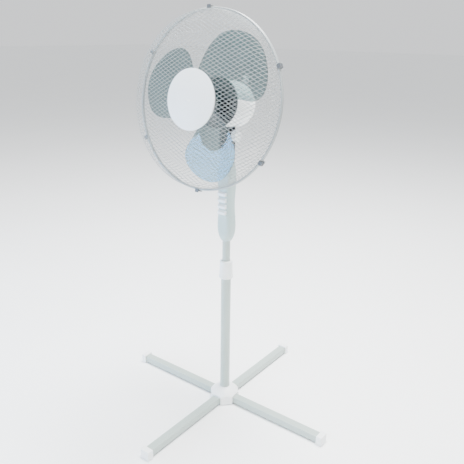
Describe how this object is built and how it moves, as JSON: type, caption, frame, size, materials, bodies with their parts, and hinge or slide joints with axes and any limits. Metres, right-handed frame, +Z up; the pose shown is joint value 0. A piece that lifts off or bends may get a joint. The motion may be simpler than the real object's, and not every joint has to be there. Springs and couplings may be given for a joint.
{
  "type": "pedestal fan",
  "caption": "Free-standing pedestal fan with a cross base, telescopic pole, key-switch housing and a tilting, swinging head in a domed diamond-mesh guard.",
  "frame": {"origin": "on the floor under the pole axis, the middle of the cross base", "axes": "+Z up along the pole, -Y the way the fan blows at rest, +X towards the tilt knob; the base legs lie along X and Y"},
  "size_m": [0.68, 0.68, 1.1114],
  "materials": {
    "white_tube_paint": "satin powder coat",
    "white_plastic": "fine satin moulding",
    "key_plastic": "gloss moulding",
    "black_plastic": "fine texture",
    "clip_plastic": "satin",
    "smoke_blade": "translucent smoky gloss",
    "guard_wire": "white powder coat",
    "zinc_steel": "zinc plated",
    "lamination_steel": "laminated",
    "copper_wire": "lacquered winding",
    "die_cast": "die cast",
    "gear_nylon": "natural nylon",
    "bearing_bronze": "sintered bronze",
    "capacitor_case": "satin"
  },
  "bodies": {
    "stand": {"base_bar_x": "white_tube_paint", "base_bar_y": "white_tube_paint", "foot_caps": "white_plastic", "pole_socket": "zinc_steel", "base_bolts": "zinc_steel", "base_cover": "white_plastic", "outer_tube": "white_tube_paint", "tube_bush": "gear_nylon"},
    "collar": {"height_collar": "white_plastic"},
    "mast": {"inner_tube": "white_tube_paint", "inner_tube_plug": "gear_nylon", "control_housing_front": "white_plastic", "control_housing_rear": "white_plastic", "housing_screws": "zinc_steel", "tube_clamp_screw": "zinc_steel", "cord_gland": "black_plastic", "switch_block": "black_plastic", "neck_fork": "black_plastic", "tilt_bolt": "zinc_steel"},
    "key_off": {"button_off": "key_plastic"},
    "key_low": {"button_low": "key_plastic"},
    "key_medium": {"button_medium": "key_plastic"},
    "key_high": {"button_high": "key_plastic"},
    "tilt_grip": {"tilt_knob": "white_plastic"},
    "tilt_head": {"tilt_block": "black_plastic", "swing_pin": "zinc_steel"},
    "head": {"gearbox_case": "die_cast", "stator_core": "lamination_steel", "stator_windings": "copper_wire", "front_end_bell": "die_cast", "rear_end_bell": "die_cast", "shaft_bearings": "bearing_bronze", "motor_front_shell": "black_plastic", "motor_rear_cover": "white_plastic", "head_screws": "zinc_steel", "run_capacitor": "capacitor_case", "rear_guard_ring": "guard_wire", "front_guard_ring": "guard_wire", "rear_guard_mesh": "guard_wire", "front_guard_mesh": "guard_wire", "rear_guard_plate": "black_plastic", "guard_nut": "black_plastic", "front_cap": "white_plastic", "cap_clamp_plate": "white_plastic"},
    "rotor": {"motor_shaft": "zinc_steel", "rotor_core": "lamination_steel", "drive_pin": "zinc_steel", "fan_blade": "smoke_blade", "spinner_nut": "black_plastic"},
    "worm_wheel": {"worm_wheel": "gear_nylon"},
    "crank": {"crank_gear": "gear_nylon"},
    "link": {"link_arm": "zinc_steel"},
    "swing_pull": {"pull_rod": "zinc_steel", "pull_knob": "white_plastic"},
    "clip_1": {"guard_clip_1": "clip_plastic"},
    "clip_2": {"guard_clip_2": "clip_plastic"},
    "clip_3": {"guard_clip_3": "clip_plastic"},
    "clip_4": {"guard_clip_4": "clip_plastic"},
    "clip_5": {"guard_clip_5": "clip_plastic"},
    "clip_6": {"guard_clip_6": "clip_plastic"}
  },
  "joints": [
    {"name": "height_slide", "type": "slide", "parent": "stand", "child": "mast", "axis": [0, 0, 1], "range_m": [-0.055, 0.19]},
    {"name": "collar_turn", "type": "hinge", "parent": "stand", "child": "collar", "pos_m": [0, 0, 0.425], "axis": [0, 0, 1], "range_deg": [0, 180]},
    {"name": "key_off_press", "type": "slide", "parent": "mast", "child": "key_off", "axis": [0, 1, 0], "range_m": [0, 0.004], "stiffness_N_per_m": 500, "springref_m": -0.001},
    {"name": "key_low_press", "type": "slide", "parent": "mast", "child": "key_low", "axis": [0, 1, 0], "range_m": [0, 0.004], "stiffness_N_per_m": 500, "springref_m": -0.001},
    {"name": "key_medium_press", "type": "slide", "parent": "mast", "child": "key_medium", "axis": [0, 1, 0], "range_m": [0, 0.004], "stiffness_N_per_m": 500, "springref_m": -0.001},
    {"name": "key_high_press", "type": "slide", "parent": "mast", "child": "key_high", "axis": [0, 1, 0], "range_m": [0, 0.004], "stiffness_N_per_m": 500, "springref_m": -0.001},
    {"name": "tilt_knob_turn", "type": "hinge", "parent": "mast", "child": "tilt_grip", "pos_m": [0.026, 0, 0.8], "axis": [1, 0, 0], "range_deg": [0, 180]},
    {"name": "head_tilt", "type": "hinge", "parent": "mast", "child": "tilt_head", "pos_m": [0, 0, 0.8], "axis": [1, 0, 0], "range_deg": [-15, 25]},
    {"name": "head_swing", "type": "hinge", "parent": "tilt_head", "child": "head", "pos_m": [0, 0.00756, 0.84942], "axis": [0, 0.1513, 0.9885], "range_deg": [-35, 35]},
    {"name": "blade_spin", "type": "hinge", "parent": "head", "child": "rotor", "pos_m": [0, -0.08515, 0.89143], "axis": [0, -0.9885, 0.1513], "continuous": true},
    {"name": "worm_wheel_turn", "type": "hinge", "parent": "head", "child": "worm_wheel", "pos_m": [0.014, 0.04731, 0.87116], "axis": [0, 0.1513, 0.9885], "continuous": true},
    {"name": "crank_turn", "type": "hinge", "parent": "head", "child": "crank", "pos_m": [0.0002, 0.04466, 0.85386], "axis": [0, 0.1513, 0.9885], "range_deg": [-54, 54]},
    {"name": "link_turn", "type": "hinge", "parent": "crank", "child": "link", "pos_m": [0.0112, 0.04179, 0.83508], "axis": [0, 0.1513, 0.9885], "range_deg": [-59, 59]},
    {"name": "swing_pull_slide", "type": "slide", "parent": "head", "child": "swing_pull", "axis": [0, 0.1513, 0.9885], "range_m": [0, 0.01]},
    {"name": "clip_1_open", "type": "hinge", "parent": "head", "child": "clip_1", "pos_m": [-0.01526, -0.04691, 1.10629], "axis": [-0.9976, -0.0106, -0.069], "range_deg": [0, 75]},
    {"name": "clip_2_open", "type": "hinge", "parent": "head", "child": "clip_2", "pos_m": [0.19821, -0.06593, 0.98199], "axis": [-0.4226, 0.1371, 0.8959], "range_deg": [0, 75]},
    {"name": "clip_3_open", "type": "hinge", "parent": "head", "child": "clip_3", "pos_m": [0.17915, -0.09889, 0.76663], "axis": [0.5736, 0.1239, 0.8097], "range_deg": [0, 75]},
    {"name": "clip_4_open", "type": "hinge", "parent": "head", "child": "clip_4", "pos_m": [0, -0.11299, 0.67445], "axis": [1, 0, 0], "range_deg": [0, 75]},
    {"name": "clip_5_open", "type": "hinge", "parent": "head", "child": "clip_5", "pos_m": [-0.1894, -0.09645, 0.78254], "axis": [0.5, -0.131, -0.8561], "range_deg": [0, 75]},
    {"name": "clip_6_open", "type": "hinge", "parent": "head", "child": "clip_6", "pos_m": [-0.1894, -0.06337, 0.99872], "axis": [-0.5, -0.131, -0.8561], "range_deg": [0, 75]}
  ],
  "couplings": [
    {"joint": "worm_wheel_turn", "follows": "blade_spin", "ratio": 0.035714},
    {"joint": "crank_turn", "follows": "head_swing", "ratio": -1.4975},
    {"joint": "link_turn", "follows": "head_swing", "ratio": 1.6422}
  ]
}
